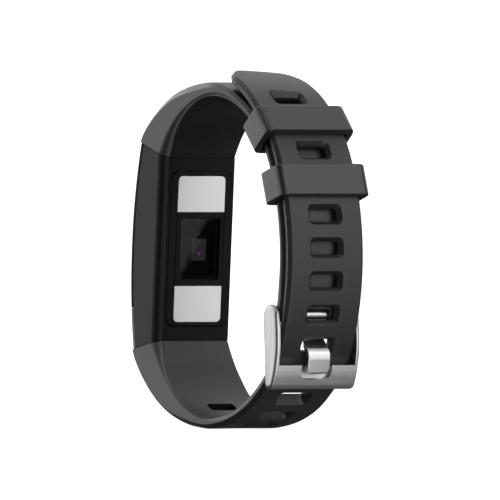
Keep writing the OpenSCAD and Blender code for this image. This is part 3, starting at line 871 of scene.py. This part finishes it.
def build_tongue():
    """A flat blade that steps up over the strap, and its rolled eye round the bar."""
    knots = [Vector((0.9, 0)), Vector((4.6, 0)), Vector((7.35, 4.32)), Vector((11.5, 4.83))]
    path = [knots[0]]
    for i in (1, 2):
        before, after = knots[i - 1] - knots[i], knots[i + 1] - knots[i]
        a = knots[i] + before.normalized() * TONGUE_BEND
        b = knots[i] + after.normalized() * TONGUE_BEND
        path += [a * (1 - t) ** 2 + knots[i] * 2 * t * (1 - t) + b * t**2
                 for t in (k / 10 for k in range(11))]
    tip, corner = knots[3], TONGUE_ROUND
    last = (tip - knots[2]).normalized()
    path += [tip - last * corner * (1 - math.sin(math.radians(a))) for a in range(0, 91, 9)]
    rings = []
    for i, p in enumerate(path):
        along = (path[min(i + 1, len(path) - 1)] - path[max(i - 1, 0)]).normalized()
        up = Vector((-along.y, along.x))
        left = (tip - p).length
        trim = corner - math.sqrt(corner**2 - max(0, corner - left) ** 2) if left < corner else 0
        pinch = 0.3 * blend(left / 0.2)
        half, thick = TONGUE_W / 2 - trim, TONGUE_T / 2 - pinch * 0.4
        flat = soften([Vector((half, thick)), Vector((-half, thick)), Vector((-half, -thick)),
                       Vector((half, -thick))], [0.24] * 4, 4)
        rings.append([in_buckle(q.x, *(p + up * q.y)) for q in flat])
    obj = new_object("tongue_blade", *loft(rings))
    finish_piece(obj, "buckle_tongue", ["buckle_tongue"], POLISHED, 40)
    half = TONGUE_W / 2
    profile = [(half - 0.15, EYE_R), (half - 0.04, EYE_R - 0.05), (half, EYE_R - 0.16),
               (half, EYE_BORE + 0.08), (half - 0.06, EYE_BORE)]
    profile += [(-x, r) for x, r in reversed(profile)]
    rings = [[in_buckle(x, r * math.cos(a), r * math.sin(a)) for x, r in profile]
             for a in (math.radians(k * 6) for k in range(60))]
    eye = new_object("tongue_eye", *loft(rings, closed=True))
    finish_piece(eye, "buckle_tongue", [], POLISHED, 40)


# ---------------------------------------------------------------- springs
# LUG_AT is the upper strap's bar in the side view (Y, Z); HALF is half a bar's tube, and
# TURNS is for the whole coil
LUG_AT = Vector((8.6, 19.1))
COIL_WIRE = 0.07
COIL_R = 0.42
PLUNGER_LEN = 1.6
LUG_HALF = 6.5
LUG_TURNS = 9
BUCKLE_HALF = 9.2
BUCKLE_TURNS = 14


def build_spring(node, half_len, turns, at):
    """The coil in a sprung bar, as two halves, one to each side of its middle."""
    reach = half_len - PLUNGER_LEN - 2 * COIL_WIRE
    count = turns * 12
    for side, word in ((-1, "left"), (1, "right")):
        rings = []
        for i in range(count + 1):
            a = math.pi * turns * i / count
            x = side * reach * i / count
            ring = []
            for k in range(8):
                b = math.radians(k * 45)
                r = COIL_R + COIL_WIRE * math.cos(b)
                ring.append(place(x - COIL_WIRE * math.sin(b), at.x + r * math.cos(a),
                                  at.y + side * r * math.sin(a)))
            rings.append(ring)
        obj = new_object(f"{node}_{word}", *loft(rings))
        finish_piece(obj, "band", [node] if side < 0 else [], DRAWN, 60)
        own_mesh(obj)


# ---------------------------------------------------------------- kept CAD nodes
def dress_cad_nodes():
    """Materials for the CAD nodes that stay: the bars, and what is inside the pod."""
    board = moulded("circuit_board", 0.03, 0.5)
    tint(board, (0.01, 0.09, 0.04))
    amber, amber_shader = principled("flex_film", (0.45, 0.17, 0.04), 0.35)
    add_bump(amber, amber_shader, noise(amber, 3000, 2), 0.1, 0.00001)
    looks = {
        "circuit_board": board,
        "flex_film": amber,
        "chip_black": moulded("chip_black", 0.01, 0.5),
        "chip_grey": moulded("chip_grey", 0.2, 0.45),
        "display_panel": black_glass("display_panel", 0.3),
        "shield_can": steel("shield_can", 0.6, 0.35),
        "battery_foil": steel("battery_foil", 0.65, 0.3),
        "gold_contact": steel("gold_contact", 0.7, 0.25),
        "rotor_brass": steel("rotor_brass", 0.5, 0.4),
        "gasket_rubber": elastomer("gasket_rubber", 0.02, 0.6),
        "bar_steel": DRAWN,
        "spring_steel": DRAWN,
    }
    tint(looks["gold_contact"], (0.9, 0.62, 0.25))
    tint(looks["rotor_brass"], (0.55, 0.4, 0.2))
    for part in frame["record"]["subparts"]:
        look = looks.get(part["material_slot"])
        if look is None:
            continue
        mesh = frame["nodes"][part["node"]].data
        for i in range(len(mesh.materials)):
            mesh.materials[i] = look


# ---------------------------------------------------------------- studio
# The camera: its line of sight, the direction that stands upright in its picture, the width
# that it sees, a nudge to the right, and its lens and sensor in millimetres
VIEW = Vector((0.5563, 0.8288, -0.0594)).normalized()
ROLL_UP = Vector((0, 0.0715, 0.9974))
VIEW_WIDTH = 0.1053
VIEW_NUDGE = 0.27 * MM
LENS = 1200
SENSOR = 36
FLOOR_RADIUS = 30
# Soft boxes: the direction from the part, the distance, the size and the radiance
SOFT_BOXES = {
    "box_back_left": ((-0.75, 0.65, 0.1), 0.6, (0.8, 0.6), 1.45),
    "box_back": ((0.1, 1, 0.1), 0.7, (0.5, 0.6), 1.3),
    "box_low_right": ((0.5, 0.2, -0.84), 0.6, (0.3, 0.3), 0.1),
    "box_fill": ((-0.35, -0.65, -0.6), 0.7, (0.5, 0.4), 0.2),
}


def area_light(name, direction, distance, size, radiance, target):
    """A soft box seen from the target along a direction; radiance sets its brightness."""
    light = bpy.data.lights.new(name, "AREA")
    light.shape = "RECTANGLE"
    light.size, light.size_y = size
    light.energy = radiance * math.pi * size[0] * size[1]
    obj = bpy.data.objects.new(name, light)
    toward = Vector(direction).normalized()
    obj.location = target + toward * distance
    obj.rotation_euler = toward.to_track_quat("Z", "Y").to_euler()
    obj.visible_camera = False
    bpy.context.scene.collection.objects.link(obj)
    return obj


def build_studio(target, eye):
    """A pale floor, a sky that brightens to one side, and the soft boxes."""
    floor_m, floor_shader = principled("floor", (0.6, 0.6, 0.6), 0.8, Emission_Strength=0.95)
    floor_shader.inputs["Emission Color"].default_value = (1, 1, 1, 1)
    add_range(floor_m, noise(floor_m, 8, 2), 0.78, 0.82, floor_shader.inputs["Roughness"])
    rim = [Vector((FLOOR_RADIUS * math.cos(a), FLOOR_RADIUS * math.sin(a), 0))
           for a in (math.radians(k * 5) for k in range(72))]
    floor = new_object("floor", rim, [tuple(range(72))])
    floor.data.materials.append(floor_m)
    floor.visible_diffuse = False
    floor.visible_glossy = False
    floor.visible_shadow = False
    world = bpy.data.worlds.new("studio")
    world.use_nodes = True
    nodes, links = world.node_tree.nodes, world.node_tree.links
    coord = nodes.new("ShaderNodeTexCoord")
    lean = nodes.new("ShaderNodeVectorMath")
    lean.operation = "DOT_PRODUCT"
    lean.inputs[1].default_value = (0.3, 0.42, 0.82)
    sky = nodes.new("ShaderNodeMapRange")
    sky.interpolation_type = "SMOOTHSTEP"
    for socket, value in (("From Min", 0.1), ("From Max", 0.95),
                          ("To Min", 0.05), ("To Max", 1.05)):
        sky.inputs[socket].default_value = value
    links.new(coord.outputs["Generated"], lean.inputs[0])
    links.new(lean.outputs["Value"], sky.inputs["Value"])
    links.new(sky.outputs["Result"], nodes["Background"].inputs["Strength"])
    nodes["Background"].inputs["Color"].default_value = (1, 1, 1, 1)
    bpy.context.scene.world = world
    for name, settings in SOFT_BOXES.items():
        area_light(name, *settings, target)
    window_box(target, eye)


def window_box(target, eye):
    """The front softbox. Its long edge crosses the mirror direction of the sensor window,
    so that the glass shows it as a diagonal sheen and the steel plates stay bright."""
    sheen_off_middle = 1.65 * MM
    window = (window_low + window_high) / 2 - Vector((sheen_off_middle, 0, 0))
    sight = (window - eye).normalized()
    mirrored = Vector((sight.x, -sight.y, sight.z))
    distance, size, radiance = 0.62, (0.9, 1.3), 1.5
    edge = Vector((-0.46, 0, -0.89))
    edge = (edge - mirrored * edge.dot(mirrored)).normalized()
    side = mirrored.cross(edge)
    if side.x > 0:
        side = -side
    light = area_light("box_front", mirrored, distance, size, radiance, target)
    light.location = window + mirrored * distance + side * size[0] / 2
    light.matrix_world = (Matrix.Translation(light.location)
                          @ Matrix((side, mirrored.cross(side), mirrored)).transposed().to_4x4())


def build_camera(target):
    """A long lens, almost parallel, turned 34 degrees, a little above level and rolled."""
    right = VIEW.cross(ROLL_UP).normalized()
    up = right.cross(VIEW)
    data = bpy.data.cameras.new("camera")
    data.lens = LENS
    data.sensor_width = SENSOR
    data.clip_end = 50
    camera = bpy.data.objects.new("camera", data)
    turn = Matrix((right, up, -VIEW)).transposed().to_4x4()
    eye = target + right * VIEW_NUDGE - VIEW * VIEW_WIDTH * LENS / SENSOR
    camera.matrix_world = Matrix.Translation(eye) @ turn
    bpy.context.scene.collection.objects.link(camera)
    bpy.context.scene.camera = camera
    return camera.matrix_world.translation


build_upper_strap()
build_lower_strap()
build_keeper("keeper_upper", 2, 135)
build_keeper("keeper_lower", 3, 158.2)
build_case()
build_front("front_glass", KEY_TOP + 0.1, FRONT_EDGE_Z, GLASS)
build_front("touch_key", -FRONT_EDGE_Z, KEY_TOP, KEY)
build_platform()
build_electrode("electrode_upper", 1)
build_electrode("electrode_lower", -1)
build_bezel()
build_window()
build_lens()
build_buckle()
build_tongue()
build_spring("lug_spring_upper", LUG_HALF, LUG_TURNS, LUG_AT)
build_spring("lug_spring_lower", LUG_HALF, LUG_TURNS,
             Vector((LUG_AT.x, -LUG_AT.y)))
build_spring("buckle_spring", BUCKLE_HALF, BUCKLE_TURNS, BAR)
dress_cad_nodes()

IMAGE_CENTRE = place(0, -16.05, 1.15)
build_studio(IMAGE_CENTRE, build_camera(IMAGE_CENTRE))
bpy.context.scene.view_settings.view_transform = "Standard"
